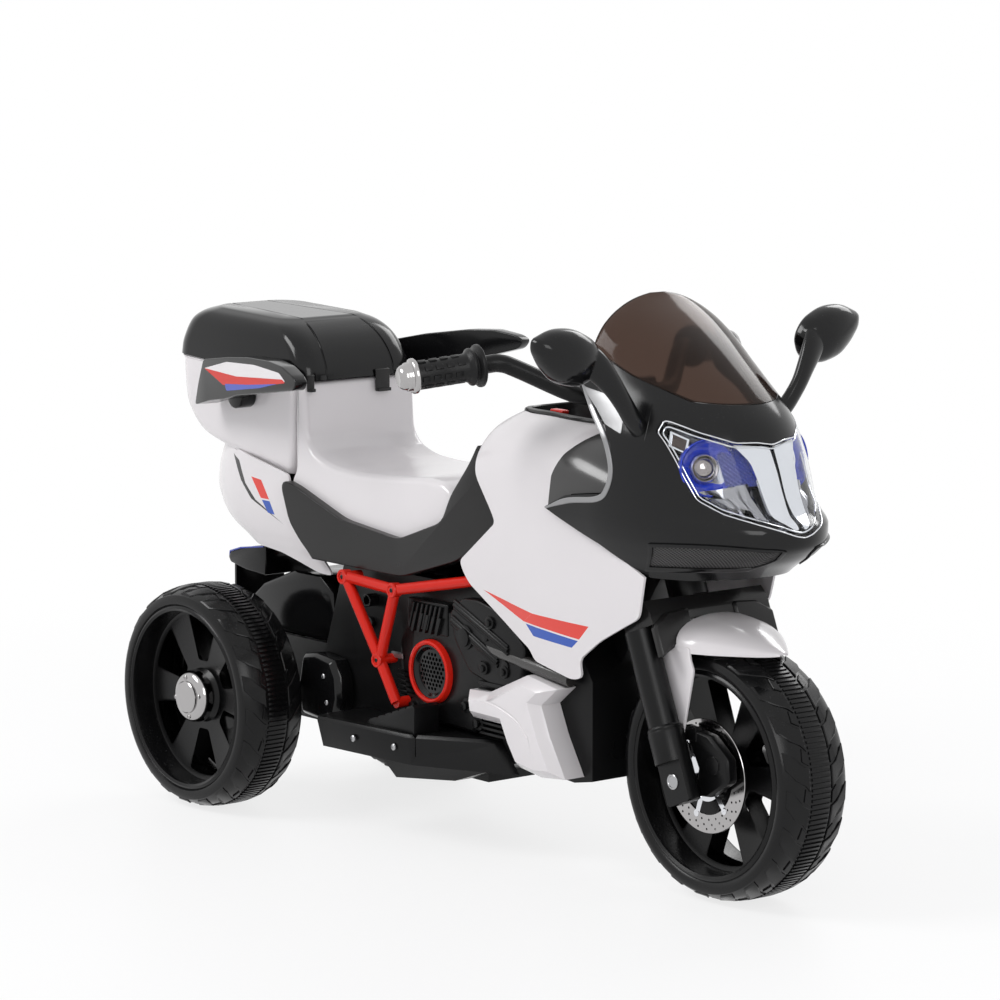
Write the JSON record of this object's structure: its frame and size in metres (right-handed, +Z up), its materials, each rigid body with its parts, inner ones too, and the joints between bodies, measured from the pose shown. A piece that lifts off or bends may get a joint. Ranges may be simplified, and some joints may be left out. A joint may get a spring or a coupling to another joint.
{
  "type": "ride-on motorcycle",
  "caption": "Battery ride-on motorcycle for a small child, with a faired nose, moulded seat, lidded box behind the seat and a steering fork.",
  "frame": {"origin": "on the ground, under the middle of the toy's length and width", "axes": "+X forwards, +Y to the rider's left, +Z up"},
  "size_m": [1.138, 0.5204, 0.685],
  "materials": {
    "black_gloss": "glossy moulded black",
    "black_satin": "satin moulded black",
    "tyre_black": "hard moulded tread, half gloss",
    "trim_grey": "brushed look dark grey",
    "white_gloss": "glossy white",
    "red_gloss": "glossy red",
    "chrome": "bright plating",
    "steel": "drawn rod",
    "pipe_metal": "dark metal look",
    "smoke": "smoked clear plastic",
    "clear": "clear plastic",
    "silver": "metallised bowl",
    "battery_grey": "plain grey case"
  },
  "bodies": {
    "toy": {"chassis": "black_satin", "battery": "battery_grey", "gearbox": "battery_grey", "rear_axle": "steel", "seat_base": "trim_grey", "seat": "white_gloss", "storage_box": "white_gloss", "tail_panel_right": "white_gloss", "tail_panel_left": "white_gloss", "tail_lamp": "black_gloss", "rear_mudguard": "black_gloss", "axle_cover_right": "black_gloss", "axle_cover_left": "black_gloss", "frame_right": "red_gloss", "frame_left": "red_gloss", "speaker_right": "black_gloss", "speaker_left": "black_gloss", "engine_cover_right": "black_satin", "engine_cover_left": "black_satin", "exhaust_right": "pipe_metal", "exhaust_left": "pipe_metal", "belly_panel_right": "white_gloss", "belly_panel_left": "white_gloss", "running_board_right": "black_satin", "running_board_left": "black_satin", "charging_socket": "black_gloss", "side_panel_right": "white_gloss", "side_panel_left": "white_gloss", "tank_tray": "trim_grey", "nose_fairing": "black_gloss", "windshield": "smoke", "headlight_lens": "clear", "headlight_housing": "silver", "mirror_right": "black_satin", "mirror_left": "black_satin"},
    "steering": {"steering_column": "trim_grey", "handlebar": "black_satin", "grip_right": "black_satin", "grip_left": "black_satin", "bar_end_right": "chrome", "bar_end_left": "chrome", "fork_leg_right": "black_satin", "fork_leg_left": "black_satin", "front_fender": "white_gloss", "front_axle": "steel", "caliper": "black_satin"},
    "front_wheel": {"front_wheel": "tyre_black", "brake_disc": "chrome"},
    "rear_wheel_right": {"rear_wheel_right": "tyre_black", "hub_cap_right": "chrome"},
    "rear_wheel_left": {"rear_wheel_left": "tyre_black", "hub_cap_left": "chrome"},
    "lid": {"lid": "black_gloss"},
    "lid_latch_right": {"lid_latch_right": "trim_grey"},
    "lid_latch_left": {"lid_latch_left": "trim_grey"},
    "armrest_right": {"armrest_right": "black_gloss"},
    "armrest_left": {"armrest_left": "black_gloss"},
    "pedal": {"pedal": "black_satin"},
    "key": {"key": "red_gloss"},
    "direction_switch": {"direction_switch": "black_gloss"}
  },
  "joints": [
    {"name": "steering", "type": "hinge", "parent": "toy", "child": "steering", "pos_m": [0.25504, 0, 0.55409], "axis": [-0.3795, 0, 0.9252], "range_deg": [-22, 22]},
    {"name": "front_wheel_spin", "type": "hinge", "parent": "steering", "child": "front_wheel", "pos_m": [0.422, 0, 0.147], "axis": [0, 1, 0], "continuous": true},
    {"name": "rear_wheel_right_spin", "type": "hinge", "parent": "toy", "child": "rear_wheel_right", "pos_m": [-0.371, -0.1625, 0.14], "axis": [0, 1, 0], "continuous": true},
    {"name": "rear_wheel_left_spin", "type": "hinge", "parent": "toy", "child": "rear_wheel_left", "pos_m": [-0.371, 0.1625, 0.14], "axis": [0, 1, 0], "continuous": true},
    {"name": "lid_hinge", "type": "hinge", "parent": "toy", "child": "lid", "pos_m": [-0.5645, 0, 0.548], "axis": [0, -1, 0], "range_deg": [0, 95]},
    {"name": "lid_latch_right_hinge", "type": "hinge", "parent": "lid", "child": "lid_latch_right", "pos_m": [-0.2747, -0.079, 0.5435], "axis": [0, -1, 0], "range_deg": [0, 70]},
    {"name": "lid_latch_left_hinge", "type": "hinge", "parent": "lid", "child": "lid_latch_left", "pos_m": [-0.2747, 0.033, 0.5435], "axis": [0, -1, 0], "range_deg": [0, 70]},
    {"name": "armrest_right_hinge", "type": "hinge", "parent": "toy", "child": "armrest_right", "pos_m": [-0.391, -0.0855, 0.508], "axis": [0, -1, 0], "range_deg": [0, 90]},
    {"name": "armrest_left_hinge", "type": "hinge", "parent": "toy", "child": "armrest_left", "pos_m": [-0.391, 0.0855, 0.508], "axis": [0, -1, 0], "range_deg": [-6.5, 83.5]},
    {"name": "pedal_press", "type": "hinge", "parent": "toy", "child": "pedal", "pos_m": [-0.0795, -0.11725, 0.136], "axis": [0, 1, 0], "range_deg": [0, 8], "stiffness_Nm_per_rad": 0.6, "springref_deg": -11.46},
    {"name": "key_turn", "type": "hinge", "parent": "toy", "child": "key", "pos_m": [0.137, -0.022, 0.508], "axis": [0, 0, -1], "range_deg": [0, 60]},
    {"name": "direction_rocker", "type": "hinge", "parent": "toy", "child": "direction_switch", "pos_m": [0.189, 0.02, 0.506], "axis": [0, 1, 0], "range_deg": [-8, 8]}
  ]
}
